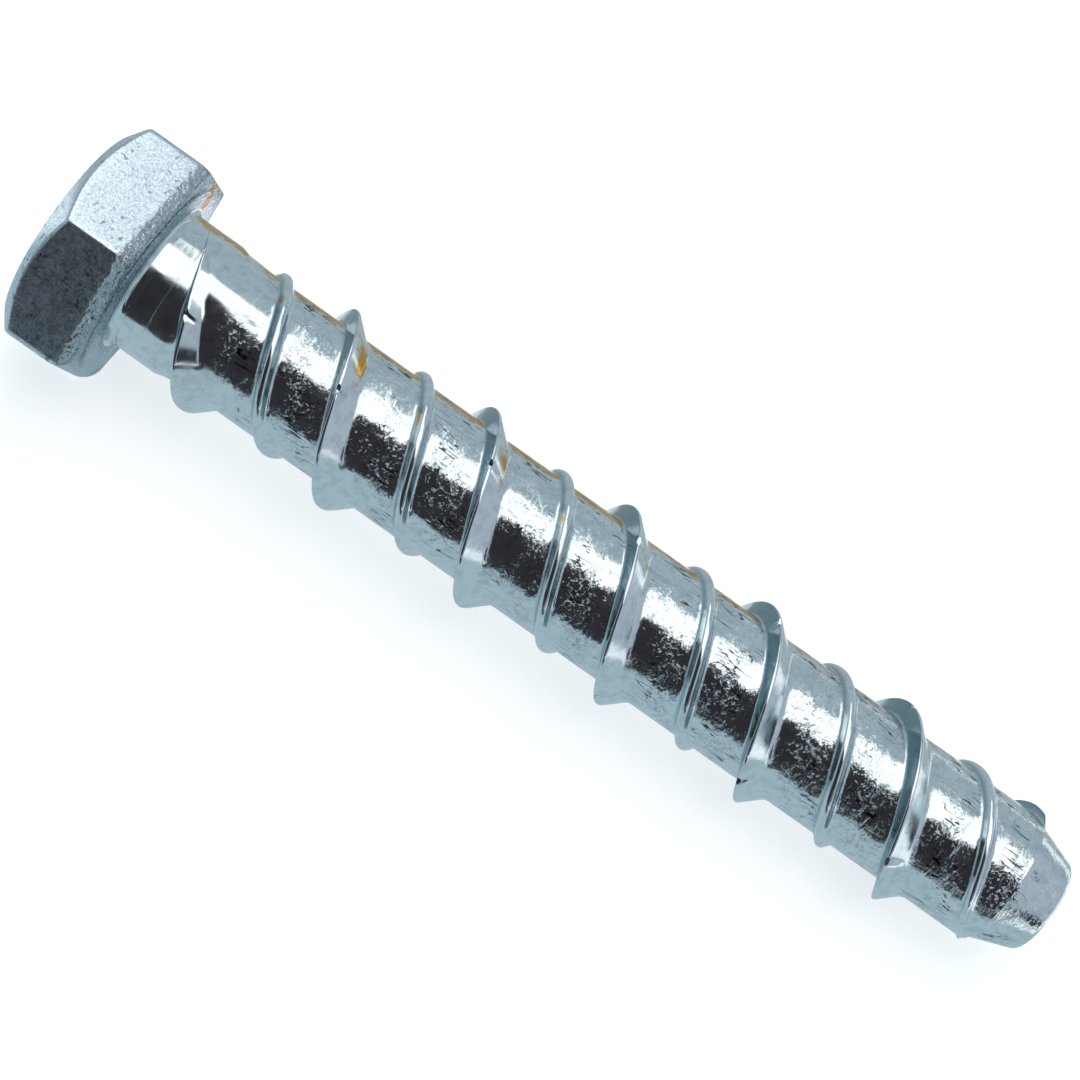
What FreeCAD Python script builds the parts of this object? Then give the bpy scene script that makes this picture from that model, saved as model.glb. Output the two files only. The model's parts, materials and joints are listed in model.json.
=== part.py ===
import FreeCAD, Part
import math
import os
from FreeCAD import Vector

# Concrete screw with a hexagon head, forged and thread-rolled from one piece.
# It is drawn standing on its axis: +Z runs from the head to the tip, z = 0 is
# the bearing face under the head, and +X is the flat that faces up at rest.
# At the end it is laid down as it comes to rest, with the tip towards +X.
# Lengths are in millimetres and angles in degrees.

# Head
across_flats = 16.6
head_height = 6.5
end_face_diameter = 14.9
head_chamfer_angle = 36.0
rim_height = 0.75
rim_lean = 0.12
head_offset = 0.4
head_offset_turn = 120.0
soft_edge_radius = 1.5
washer_face_diameter = 15.0
washer_face_height = 0.15

# Neck, shank and tip
shank_length = 74.7
neck_diameter = 10.5
neck_length = 4.1
neck_taper_length = 0.7
neck_flare = 0.45
core_diameter = 9.85
tip_cone_length = 4.15
tip_end_diameter = 6.9
tip_rounding = 0.7

# Threads: one lead for both, wound to the right
thread_lead = 11.6
thread_end = 71.15
high_thread_at = 2.73
high_thread_height = 1.33
high_head_flank = 0.3
high_crest_land = 0.2
high_tip_flank = 1.42
low_thread_lag = 6.5
low_thread_height = 0.58
low_crest_land = 0.64
low_flank = 0.5
swell_from = 1.85
swell_length = 4.4
fade_from = 66.65
fade_length = 7.0
faintest_share = 0.04

# Nicks across the crest of the high thread
nick_first_turn = 39.6
nick_spacing = 114.1
nick_width = 0.9
nick_depth = 0.5

# The threads are drawn in pieces of a turn, with some points on each piece
pieces_per_turn = 3
points_per_piece = 4


def polar(radius, turn, z):
    """Point at a radius, an angle about the axis from +X and a height."""
    angle = math.radians(turn)
    return Vector(radius * math.cos(angle), radius * math.sin(angle), z)


def line(start, end):
    """Edge between two points of the XZ plane, each given as x and z."""
    return Part.makeLine(Vector(start[0], 0, start[1]), Vector(end[0], 0, end[1]))


def outline(*points):
    """Straight edges from point to point in the XZ plane."""
    return [line(start, end) for start, end in zip(points, points[1:])]


def turned(edges):
    """Solid turned about the axis from the closed outline of one half."""
    return Part.Face(Part.Wire(edges)).revolve(Vector(0, 0, 0), Vector(0, 0, 1), 360)


# Head

def hexagon(flats, z):
    """Closed hexagon round the axis with one flat facing +X."""
    corners = [polar(flats / math.sqrt(3), 30 + 60 * side, z) for side in range(7)]
    return Part.makePolygon(corners)


def hexagon_block():
    """Six-sided block that leans in a little round its bearing side."""
    rim_top = -washer_face_height
    rim_foot = rim_top - rim_height
    body = Part.makeLoft([hexagon(across_flats, -head_height), hexagon(across_flats, rim_foot)], True, True)
    rim = Part.makeLoft(
        [hexagon(across_flats, rim_foot), hexagon(across_flats - 2 * rim_lean, rim_top)], True, True
    )
    return body.fuse(rim)


def chamfered_blank():
    """Turned shape whose cone takes off the corners at the outer end."""
    end_r = end_face_diameter / 2
    wide_r = across_flats
    cone_top = -head_height + (wide_r - end_r) * math.tan(math.radians(head_chamfer_angle))
    above = cone_top + head_height
    return turned(
        outline(
            (0, -head_height), (end_r, -head_height), (wide_r, cone_top),
            (wide_r, above), (0, above), (0, -head_height),
        )
    )


def soft_edge():
    """Space outside the one bearing edge that the forging left rounded."""
    flat_x = across_flats / 2
    rim_top = -washer_face_height
    inner_x = flat_x - soft_edge_radius
    lower_z = rim_top - soft_edge_radius
    half_way = soft_edge_radius * math.sqrt(0.5)
    arc = Part.Arc(
        Vector(flat_x, 0, lower_z),
        Vector(inner_x + half_way, 0, lower_z + half_way),
        Vector(inner_x, 0, rim_top),
    ).toShape()
    beyond_x = flat_x + soft_edge_radius
    above = rim_top + soft_edge_radius
    sides = outline((inner_x, rim_top), (inner_x, above), (beyond_x, above), (beyond_x, lower_z), (flat_x, lower_z))
    bar = Part.Face(Part.Wire([arc] + sides)).extrude(Vector(0, 2 * across_flats, 0))
    bar.translate(Vector(0, -across_flats, 0))
    bar.rotate(Vector(0, 0, 0), Vector(0, 0, 1), head_offset_turn)
    return bar


def head():
    """Hexagon head with its washer face, forged a little off the shank's axis."""
    seat_depth = washer_face_height + rim_height
    seat = Part.makeCylinder(washer_face_diameter / 2, seat_depth, Vector(0, 0, -seat_depth))
    whole = hexagon_block().common(chamfered_blank()).cut(soft_edge()).fuse(seat)
    whole.translate(polar(head_offset, head_offset_turn, 0))
    return whole


# Neck and tip

def neck():
    """Plain neck with a flare under the head and a taper down into the core."""
    neck_r = neck_diameter / 2
    flare_r = neck_r + neck_flare
    root_z = -head_height / 2
    slope = (neck_r - core_diameter / 2) / neck_taper_length
    buried_r = core_diameter / 4
    buried_z = neck_length + (neck_r - buried_r) / slope
    mid_r = neck_r + neck_flare * (1 - math.sqrt(0.5))
    mid_z = neck_flare * (1 - math.sqrt(0.5))
    return turned(
        outline(
            (0, root_z), (flare_r, root_z), (flare_r, 0), (mid_r, mid_z), (neck_r, neck_flare),
            (neck_r, neck_length), (buried_r, buried_z), (0, buried_z), (0, root_z),
        )
    )


def tip_limit():
    """Turned shape from inside the neck to the tip: end of the threads, blunt cone, flat end."""
    end_r = tip_end_diameter / 2
    slope = math.atan2(core_diameter / 2 - end_r, tip_cone_length)
    wide_r = core_diameter / 2 + 2 * high_thread_height
    cone_start_r = end_r + (shank_length - thread_end) * math.tan(slope)
    reach = tip_rounding * math.tan((math.pi / 2 - slope) / 2)
    cone_end = (end_r + reach * math.sin(slope), shank_length - reach * math.cos(slope))
    flat_r = end_r - reach
    half_way = (math.pi / 2 + slope) / 2
    arc = Part.Arc(
        Vector(cone_end[0], 0, cone_end[1]),
        Vector(
            flat_r + tip_rounding * math.cos(half_way),
            0,
            shank_length - tip_rounding * (1 - math.sin(half_way)),
        ),
        Vector(flat_r, 0, shank_length),
    ).toShape()
    start_z = neck_length / 2
    sides = outline((0, start_z), (wide_r, start_z), (wide_r, thread_end), (cone_start_r, thread_end), cone_end)
    return turned(sides + [arc] + outline((flat_r, shank_length), (0, shank_length), (0, start_z)))


# Threads

def thread_share(z):
    """Share of a thread's full section at a height: it swells in and fades out."""
    share = min(1.0, (z - swell_from) / swell_length, (fade_from + fade_length - z) / fade_length)
    share = max(0.0, share)
    return max(faintest_share, share * share * (3 - 2 * share))


def high_crest(turn):
    """Radius and height of the high thread's crest at an angle along its helix."""
    z = high_thread_at + thread_lead * turn / 360
    return core_diameter / 2 + high_thread_height * thread_share(z), z


def section(turn):
    """Eight corners of the axial section at an angle: high ridge, then low ridge."""
    core_r = core_diameter / 2
    high_r, high_z = high_crest(turn)
    high = thread_share(high_z)
    low_z = high_z + low_thread_lag
    low = thread_share(low_z)
    low_r = core_r + low_thread_height * low
    half_land = low_crest_land / 2
    corners = [
        (core_r, high_z - high_head_flank * high),
        (high_r, high_z),
        (high_r, high_z + high_crest_land * high),
        (core_r, high_z + (high_crest_land + high_tip_flank) * high),
        (core_r, low_z - (half_land + low_flank) * low),
        (low_r, low_z - half_land * low),
        (low_r, low_z + half_land * low),
        (core_r, low_z + (half_land + low_flank) * low),
    ]
    return [polar(radius, turn, z) for radius, z in corners]


def edge_pieces(points):
    """Smooth curve through the points along one thread edge, cut into its pieces."""
    curve = Part.BSplineCurve()
    curve.interpolate(Points=list(points), Parameters=list(range(len(points))))
    starts = range(0, len(points) - 1, points_per_piece)
    return [curve.toShape(start, start + points_per_piece) for start in starts]


def end_cap(helix, corners):
    """Faces from one turn of helix and the section beside it in to the axis."""
    heights = [edge.Vertexes[0].Z for edge in helix] + [helix[-1].Vertexes[-1].Z]
    on_axis = [Vector(0, 0, z) for z in heights]
    axis = [Part.makeLine(start, end) for start, end in zip(on_axis, on_axis[1:])]
    ramps = [Part.makeRuledSurface(edge, straight) for edge, straight in zip(helix, axis)]
    wall = Part.Face(Part.makePolygon(corners + on_axis[::-1] + corners[:1]))
    return ramps + [wall]


def threaded_rod():
    """Core and both threads as one skin of ruled strips, longer than needed at both ends."""
    first = math.floor((neck_length / 2 - high_thread_at) / thread_lead) - 1
    last = math.ceil((shank_length - high_thread_at) / thread_lead) + 1
    step = 360 / (pieces_per_turn * points_per_piece)
    count = (last - first) * pieces_per_turn * points_per_piece
    sections = [section(360 * first + step * index) for index in range(count + 1)]
    edges = [edge_pieces(points) for points in zip(*sections)]
    strips = [Part.makeRuledSurface(a, b) for pair in zip(edges, edges[1:]) for a, b in zip(*pair)]
    strips += [Part.makeRuledSurface(a, b) for a, b in zip(edges[-1], edges[0][pieces_per_turn:])]
    one_turn = pieces_per_turn * points_per_piece
    start = end_cap(edges[0][:pieces_per_turn], sections[0] + sections[one_turn][:1])
    end = end_cap(edges[-1][-pieces_per_turn:], sections[-1 - one_turn][-1:] + sections[-1])
    shell = Part.makeShell(strips + start + end)
    shell.sewShape()
    rod = Part.makeSolid(shell)
    if rod.Volume < 0:
        rod.reverse()
    return rod


def nick(turn):
    """Wedge across the crest of the high thread at an angle along its helix."""
    crest_r, crest_z = high_crest(turn)
    share = thread_share(crest_z)
    floor_r = crest_r - nick_depth * share
    open_r = crest_r + nick_depth
    half_open = nick_width / 2 * (open_r - floor_r) / nick_depth
    start_z = crest_z - high_head_flank
    end_z = crest_z + high_crest_land + high_tip_flank
    corners = [
        Vector(floor_r, 0, start_z),
        Vector(open_r, half_open, start_z),
        Vector(open_r, -half_open, start_z),
        Vector(floor_r, 0, start_z),
    ]
    wedge = Part.Face(Part.makePolygon(corners)).extrude(Vector(0, 0, end_z - start_z))
    wedge.rotate(Vector(0, 0, 0), Vector(0, 0, 1), turn)
    return wedge


def nicks():
    """All nicks, evenly spaced along the helix until the thread has faded."""
    end_turn = 360 * (fade_from + fade_length / 2 - high_thread_at) / thread_lead
    count = math.floor((end_turn - nick_first_turn) / nick_spacing) + 1
    return [nick(nick_first_turn + nick_spacing * index) for index in range(count)]


# Whole screw

def standing_screw():
    """The screw on its own axis, in one solid."""
    shank = threaded_rod().common(tip_limit())
    return shank.fuse([neck(), head()]).cut(nicks())


def rest_tilt():
    """Slope of the axis when the lowest flat's rim and one thread crest lie on the floor."""
    flat_drop = across_flats / 2 - head_offset * math.cos(math.radians(head_offset_turn))
    heel_z = -washer_face_height - rim_height
    last_turn = math.floor(360 * (thread_end - high_thread_at) / thread_lead)
    slopes = []
    for turn in range(round(nick_first_turn), last_turn):
        crest_r, crest_z = high_crest(turn)
        crest_drop = -crest_r * math.cos(math.radians(turn))
        slopes.append((flat_drop - crest_drop) / (crest_z - heel_z))
    return math.degrees(math.atan(min(slopes)))


def resting_screw():
    """The screw laid down on its flat and thread, centred over the origin."""
    screw = standing_screw()
    screw.rotate(Vector(0, 0, 0), Vector(1, 0, 1), 180)
    screw.rotate(Vector(0, 0, 0), Vector(0, 1, 0), rest_tilt())
    box = screw.optimalBoundingBox()
    screw.translate(Vector(-box.Center.x, -box.Center.y, -box.ZMin))
    return screw


os.makedirs("parts", exist_ok=True)
resting_screw().exportStep("parts/concrete_screw.step")
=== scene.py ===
"""Concrete screw with a hexagon head, lying at rest on a pale studio floor.

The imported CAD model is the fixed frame.  One detailed skin stands for its
only node: a threaded rod, a neck, a cone tip and a forged head, each a closed
surface worked out on a grid and joined into one piece of zinc-plated steel.

Lengths of the screw are in millimetres in its own frame: x points to the flat
that faces up, y to the near side and z along the axis from the bearing face to
the tip.  Angles round the axis are degrees of turn from x to y.  The studio
is in metres, in the shared frame.
"""
import json
import logging
import math
from dataclasses import dataclass, field
from enum import Enum
from functools import partial, reduce

import bpy
import numpy as np
from mathutils import Matrix


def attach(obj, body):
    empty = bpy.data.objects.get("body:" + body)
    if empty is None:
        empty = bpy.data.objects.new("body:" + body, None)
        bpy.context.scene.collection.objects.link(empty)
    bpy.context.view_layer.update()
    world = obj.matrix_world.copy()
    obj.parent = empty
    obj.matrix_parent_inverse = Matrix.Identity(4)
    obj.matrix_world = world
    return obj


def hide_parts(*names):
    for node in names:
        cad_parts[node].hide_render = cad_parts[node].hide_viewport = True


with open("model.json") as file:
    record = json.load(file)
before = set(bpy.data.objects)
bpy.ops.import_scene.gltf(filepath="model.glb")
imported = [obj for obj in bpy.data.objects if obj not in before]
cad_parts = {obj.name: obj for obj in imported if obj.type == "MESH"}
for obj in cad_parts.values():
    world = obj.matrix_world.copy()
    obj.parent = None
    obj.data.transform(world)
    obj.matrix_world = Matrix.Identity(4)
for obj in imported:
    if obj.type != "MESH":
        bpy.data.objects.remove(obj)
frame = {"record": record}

Pair = tuple[float, float]
Triple = tuple[float, float, float]
Colour = tuple[float, float, float, float]
Socket = bpy.types.NodeSocket

MILLIMETRE: float = 0.001
NODE: str = "concrete_screw"
BODY: str = "root"
WELD_DECIMALS: int = 5
LONGEST_CUT: float = 0.45

log = logging.getLogger("concrete_screw")


class Mask(Enum):
    """Named attributes that tell the finish where a look belongs."""

    # Where the painted amber reflection lies; its faint part also carries the painted lilac sheen
    PAINTED_REFLECTION = "painted_reflection_mask"
    # Where the painted teal shade lies
    PAINTED_SHADE = "painted_shade_mask"
    FORGED = "forged_head"
    RIM = "pressed_rim"
    WORN = "rolled_wear"


# Grids and shells


@dataclass(frozen=True)
class Shell:
    """A triangle skin: points (n, 3) in millimetres and triangles (m, 3)."""

    points: np.ndarray
    triangles: np.ndarray

    def joined(self, other: "Shell") -> "Shell":
        """Put another shell beside this one without merging their points."""
        triangles = np.vstack([self.triangles, other.triangles + len(self.points)])
        return Shell(np.vstack([self.points, other.points]), triangles)


def grid_triangles(rows: int, columns: int) -> np.ndarray:
    """Split the cells of a grid of points into two triangles each.

    Cell (i, j) has corners (i, j), (i+1, j), (i+1, j+1) and (i, j+1), taken in
    that order, and is cut from its first to its third corner.

    Args:
        rows: Number of rows of points.
        columns: Number of columns of points.

    Returns:
        Index triples into the points laid out row by row.
    """
    index = np.arange(rows * columns).reshape(rows, columns)
    a, b, c, d = index[:-1, :-1], index[1:, :-1], index[1:, 1:], index[:-1, 1:]
    first = np.stack([a, b, c], axis=-1).reshape(-1, 3)
    second = np.stack([a, c, d], axis=-1).reshape(-1, 3)
    return np.vstack([first, second])


def welded(points: np.ndarray, triangles: np.ndarray) -> Shell:
    """Merge points that coincide to a hundred-thousandth of a millimetre.

    Args:
        points: Points (n, 3).
        triangles: Triangles (m, 3) over those points.

    Returns:
        The shell with merged points, without the triangles that lost an edge.
    """
    near = np.round(points, WELD_DECIMALS)
    _, first, place = np.unique(near, axis=0, return_index=True, return_inverse=True)
    faces = place.reshape(-1)[triangles]
    whole = np.all(faces != np.roll(faces, -1, axis=1), axis=1)
    return Shell(points[first], faces[whole])


def capped(shell: Shell) -> Shell:
    """Close the two open ends of a skin round the axis with fans.

    An edge is open where no triangle runs along it the other way.  Every open
    edge is joined to a pole on the axis at the height of its own end.

    Args:
        shell: A skin with one open edge at its lowest z and one at its highest.

    Returns:
        The closed shell.
    """
    count = len(shell.points)
    edges = np.vstack([shell.triangles[:, pair] for pair in ([0, 1], [1, 2], [2, 0])])
    forward = edges[:, 0] * count + edges[:, 1]
    backward = edges[:, 1] * count + edges[:, 0]
    free = edges[~np.isin(forward, backward)]
    heights = shell.points[:, 2]
    low, high = heights.min(), heights.max()
    poles = np.array([[0.0, 0.0, low], [0.0, 0.0, high]])
    pole = count + (heights[free[:, 0]] > (low + high) / 2)
    fans = np.column_stack([free[:, 1], free[:, 0], pole])
    return Shell(np.vstack([shell.points, poles]), np.vstack([shell.triangles, fans]))


def revolved(profile: np.ndarray, steps: int) -> Shell:
    """Turn a profile about the axis.

    The point at turn t is (r cos t, r sin t, z) for each pair r, z of the
    profile, which starts and ends on the axis and runs from low z to high z on
    its outer side.

    Args:
        profile: Pairs (n, 2) of radius and height.
        steps: Number of steps round the axis.

    Returns:
        The closed shell.
    """
    turn = np.linspace(0.0, 2 * np.pi, steps + 1)[:, None]
    radius, height = profile[:, 0][None, :], profile[:, 1][None, :]
    points = np.stack([radius * np.cos(turn), radius * np.sin(turn), height + 0 * turn], axis=-1)
    points[-1] = points[0]
    return welded(points.reshape(-1, 3), grid_triangles(steps + 1, len(profile)))


def rounded(corners: np.ndarray, cuts: np.ndarray, pieces: int) -> np.ndarray:
    """Round the corners of many open outlines at once.

    Each corner P between its neighbours A and B is replaced by the parabola
    (1-w)^2 S + 2w(1-w) P + w^2 E, where S and E lie on PA and PB at the cut
    length from P, or at 0.45 of the shorter side where that is less.

    Args:
        corners: Outlines (..., n, 2), of which the first and last points only
            give directions.
        cuts: Cut length of each inner corner, shape (..., n-2).
        pieces: Number of straight pieces in each parabola.

    Returns:
        Points (..., (n-2) * (pieces+1), 2).
    """
    before = corners[..., :-2, :] - corners[..., 1:-1, :]
    after = corners[..., 2:, :] - corners[..., 1:-1, :]
    before_length = np.linalg.norm(before, axis=-1)
    after_length = np.linalg.norm(after, axis=-1)
    cut = np.minimum(cuts, LONGEST_CUT * np.minimum(before_length, after_length))
    corner = corners[..., 1:-1, :]
    start = corner + before * (cut / before_length)[..., None]
    end = corner + after * (cut / after_length)[..., None]
    share = np.linspace(0.0, 1.0, pieces + 1)[:, None]
    curve = (
        (1 - share) ** 2 * start[..., None, :]
        + 2 * share * (1 - share) * corner[..., None, :]
        + share**2 * end[..., None, :]
    )
    return curve.reshape(*corners.shape[:-2], -1, 2)


def smooth_step(value: np.ndarray) -> np.ndarray:
    """Ease from 0 to 1 by 3x^2 - 2x^3, flat outside that range."""
    value = np.clip(value, 0.0, 1.0)
    return value * value * (3 - 2 * value)


# The screw's parts


@dataclass(frozen=True)
class ThreadedRod:
    """Core with its high and low thread, one ribbon wound round the axis."""

    core_radius: float = 4.925
    neck_radius: float = 5.25
    neck_from: float = 3.7
    neck_fade: float = 1.3
    lead: float = 11.6
    high_at: float = 2.73
    high_height: float = 1.3295
    high_head_flank: float = 0.3
    high_crest_land: float = 0.2
    high_tip_flank: float = 1.42
    low_lag: float = 6.5
    low_height: float = 0.58
    low_crest_land: float = 0.36
    low_flank: float = 0.43
    swell_from: float = 0.74
    rise_from: float = 1.85
    swell_length: float = 4.4
    neck_ridge: float = 0.16
    fade_from: float = 66.65
    fade_length: float = 7.0
    faintest_share: float = 0.04
    nick_first_turn: float = 39.6
    nick_spacing: float = 114.1
    nick_count: int = 18
    nick_width: float = 0.7
    nick_depth: float = 0.28
    start: float = 0.62
    end: float = 71.15
    end_slope: float = 1.6
    turn_step: float = 2.0
    rows_before: int = 6
    rows_after: int = 20
    nick_edge_rows: int = 2
    nick_reach_rows: int = 8
    corner_cuts: tuple[float, ...] = (0.2, 0.11, 0.11, 0.4, 0.24, 0.17, 0.17, 0.24)
    ridge_corners: int = 4
    corner_pieces: int = 4
    plain_pieces: int = 8

    def share(self, height: np.ndarray, swell_from: float | None = None) -> np.ndarray:
        """Share of a thread's full width at a height: it swells in and fades out.

        Args:
            height: Heights along the axis.
            swell_from: Where it starts to swell, or nothing for the width's own.

        Returns:
            The smooth step of the lesser of both ramps, never under the faintest.
        """
        start = self.swell_from if swell_from is None else swell_from
        swell = (height - start) / self.swell_length
        fade = (self.fade_from + self.fade_length - height) / self.fade_length
        return np.maximum(self.faintest_share, smooth_step(np.minimum(swell, fade)))

    def base(self, height: np.ndarray) -> np.ndarray:
        """Radius under the threads: the neck's, eased down to the core's."""
        eased = smooth_step((height - self.neck_from) / self.neck_fade)
        return self.neck_radius + (self.core_radius - self.neck_radius) * eased

    def crest(self, height: np.ndarray, full: float) -> np.ndarray:
        """Crest's radius: the larger of core + full rise and base + ridge on the neck."""
        risen = self.core_radius + full * self.share(height, self.rise_from)
        return np.maximum(risen, self.base(height) + self.neck_ridge * self.share(height))

    def high_height_at(self, turn: np.ndarray) -> np.ndarray:
        """Height along the axis of the high thread's crest at a turn."""
        return self.high_at + self.lead * turn / 360

    def section(self, turn: np.ndarray) -> np.ndarray:
        """Axial sections of one lead with their corners.

        A section starts at the head-side toe of the high ridge and ends at the
        same toe one turn on.  Each ridge is a trapezium that its share scales
        in height and width.

        Args:
            turn: Turns (n,).

        Returns:
            Radius and height along the axis of ten corners, shape (n, 10, 2):
            the corner before the first, the eight ridge corners and the next
            turn's first toe.
        """
        high_z = self.high_height_at(turn)
        low_z = high_z + self.low_lag
        next_z = high_z + self.lead
        before_z = low_z - self.lead
        high, low = self.share(high_z), self.share(low_z)
        half_land = self.low_crest_land / 2
        half_foot = half_land + self.low_flank
        height = [
            before_z + half_foot * self.share(before_z),
            high_z - self.high_head_flank * high,
            high_z,
            high_z + self.high_crest_land * high,
            high_z + (self.high_crest_land + self.high_tip_flank) * high,
            low_z - half_foot * low,
            low_z - half_land * low,
            low_z + half_land * low,
            low_z + half_foot * low,
            next_z - self.high_head_flank * self.share(next_z),
        ]
        radius = [self.base(place) for place in height]
        radius[2] = radius[3] = self.crest(high_z, self.high_height)
        radius[6] = radius[7] = self.crest(low_z, self.low_height)
        return np.stack([np.stack(radius, axis=-1), np.stack(height, axis=-1)], axis=-1)

    def rounded_section(self, turn: np.ndarray) -> np.ndarray:
        """Sections with rounded corners, whose cuts each ridge's share scales.

        Args:
            turn: Turns (n,).

        Returns:
            Radius and height, shape (n, 8 * (corner pieces + 1), 2).
        """
        high_z = self.high_height_at(turn)
        shares = np.stack([self.share(high_z), self.share(high_z + self.low_lag)], axis=-1)
        cuts = np.array(self.corner_cuts) * np.repeat(shares, self.ridge_corners, axis=-1)
        return rounded(self.section(turn), cuts, self.corner_pieces)

    def curve(self, turn: np.ndarray) -> np.ndarray:
        """Rounded section at each turn with extra columns on the plain core.

        Args:
            turn: Turns (n,).

        Returns:
            Radius and height from one toe of the high ridge to the same toe
            one turn on, shape (n, columns, 2).
        """
        curve = self.rounded_section(turn)
        next_toe = self.rounded_section(turn + 360)[:, :1]
        share = np.linspace(0.0, 1.0, self.plain_pieces + 1)[None, 1:-1, None]
        half = self.ridge_corners * (self.corner_pieces + 1)
        between = curve[:, half - 1:half] * (1 - share) + curve[:, half:half + 1] * share
        last = curve[:, -1:] * (1 - share) + next_toe * share
        return np.concatenate([curve[:, :half], between, curve[:, half:], last, next_toe], axis=1)

    def turns(self) -> np.ndarray:
        """Evenly spaced turns of the rows, which reach past both ends.

        Returns:
            The turns (n,), from a lead and some rows before the start.
        """
        step = self.turn_step
        before = ((self.start - self.high_at) / self.lead - 1) * 360 / step
        after = (self.end - self.high_at) / self.lead * 360 / step
        first = step * math.floor(before - self.rows_before)
        last = step * math.ceil(after + self.rows_after)
        return np.arange(first, last + step / 2, step)

    def nick_turns(self) -> np.ndarray:
        """Turns of the nicks, evenly spaced along the high thread."""
        return self.nick_first_turn + self.nick_spacing * np.arange(self.nick_count)

    def half_nick_turn(self) -> float:
        """Half the width of a nick as a turn at the crest, in degrees."""
        return math.degrees(self.nick_width / 2 / (self.core_radius + self.high_height))

    def nicked_turns(self, turn: np.ndarray) -> np.ndarray:
        """Shift the rows near each nick so that its floor and edges get rows.

        The rows two steps from the nearest row to a nick's middle take the
        nick's two edges, that row takes the middle, and rows eight steps away
        stay; the rows between are spread evenly.

        Args:
            turn: Evenly spaced turns (n,).

        Returns:
            The shifted turns (n,).
        """
        nicks = self.nick_turns()
        half = self.half_nick_turn()
        near = np.round((nicks - turn[0]) / self.turn_step).astype(int)
        edge, reach = self.nick_edge_rows, self.nick_reach_rows
        keys = (near[:, None] + np.array([-reach, -edge, 0, edge, reach])).reshape(-1)
        ends = [turn[near - reach], turn[near + reach]]
        values = np.column_stack([ends[0], nicks - half, nicks, nicks + half, ends[1]])
        rows = np.arange(len(turn))
        shifted = np.interp(rows, keys, values.reshape(-1))
        return np.where((rows >= keys[0]) & (rows <= keys[-1]), shifted, turn)

    def notch(self, turn: np.ndarray) -> np.ndarray:
        """Depth of the V-shaped nicks below the crest.

        The depth falls off in a straight line from the full depth at a nick's
        middle to nothing at its edges, times the thread's share there.

        Args:
            turn: Turns of any shape.

        Returns:
            Depths of the same shape.
        """
        first = self.nick_first_turn
        index = np.clip(np.round((turn - first) / self.nick_spacing), 0, self.nick_count - 1)
        away = np.abs(turn - (first + index * self.nick_spacing)) / self.half_nick_turn()
        depth = self.nick_depth * self.share(self.high_height_at(turn), self.rise_from)
        return depth * np.clip(1 - away, 0.0, 1.0)

    def shell(self) -> Shell:
        """Wind the rounded section round the axis and close its two ends.

        The point of row t and column j is (r cos t, r sin t, z), with r and z
        from the rounded section at turn t.  The last column of a row lies on
        the first column of the row one turn on, where the two are merged.  On
        the high ridge the rows shift to the nicks and the crest is cut down to
        the notch.  Near the tip r is at most core radius + slope (end - z), so
        the threads run out on a bevel.  Points beyond either end move along the
        axis on to it.

        Returns:
            The closed shell.
        """
        turn = self.turns()
        shifted = self.nicked_turns(turn)
        plain, ridge = self.curve(turn), self.curve(shifted)
        column = np.arange(plain.shape[1])
        on_ridge = (column > 0) & (column < self.ridge_corners * (self.corner_pieces + 1) - 1)
        curve = np.where(on_ridge[:, None], ridge, plain)
        turns = np.where(on_ridge, shifted[:, None], turn[:, None])
        radius, height = curve[..., 0], curve[..., 1]
        crest = self.crest(self.high_height_at(turns), self.high_height)
        cut = np.where(on_ridge, crest - self.notch(turns), np.inf)
        radius = np.maximum(np.minimum(radius, cut), self.base(height))
        bevel = self.core_radius + self.end_slope * np.maximum(self.end - height, 0.0)
        radius = np.minimum(radius, bevel)
        outside = (height <= self.start) | (height >= self.end)
        height = np.clip(height, self.start, self.end)
        radius = np.where(outside, self.base(height), radius)
        angle = np.radians(np.where(outside, turn[:, None], turns))
        points = np.stack([radius * np.cos(angle), radius * np.sin(angle), height], axis=-1)
        return capped(welded(points.reshape(-1, 3), grid_triangles(*radius.shape)))


@dataclass(frozen=True)
class Neck:
    """Hollow fillet between the head and the neck, which runs on inside the rod."""

    radius: float = 5.25
    fillet: float = 0.45
    fillet_points: int = 9
    buried_from: float = -1.2
    buried_to: float = 1.2
    clearance: float = 0.004
    shoulder_rise: float = 0.1
    shoulder_step: float = 0.3
    steps: int = 180

    def shell(self) -> Shell:
        """Turn the fillet's outline.

        The outline goes out inside the head, up the quarter circle of the
        fillet and back to the axis inside the rod.

        Returns:
            The closed shell.
        """
        angle = np.linspace(0.0, np.pi / 2, self.fillet_points)
        foot = self.radius + self.fillet
        fillet_r = self.radius + self.fillet * (1 - np.sin(angle))
        fillet_z = self.fillet * (1 - np.cos(angle))
        inside = self.radius - self.clearance
        start = [(0.0, self.buried_from), (foot, self.buried_from)]
        end = [
            (inside, fillet_z[-1] + self.shoulder_rise),
            (inside - self.shoulder_step, self.buried_to),
            (0.0, self.buried_to),
        ]
        return revolved(np.vstack([start, np.column_stack([fillet_r, fillet_z]), end]), self.steps)


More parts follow.
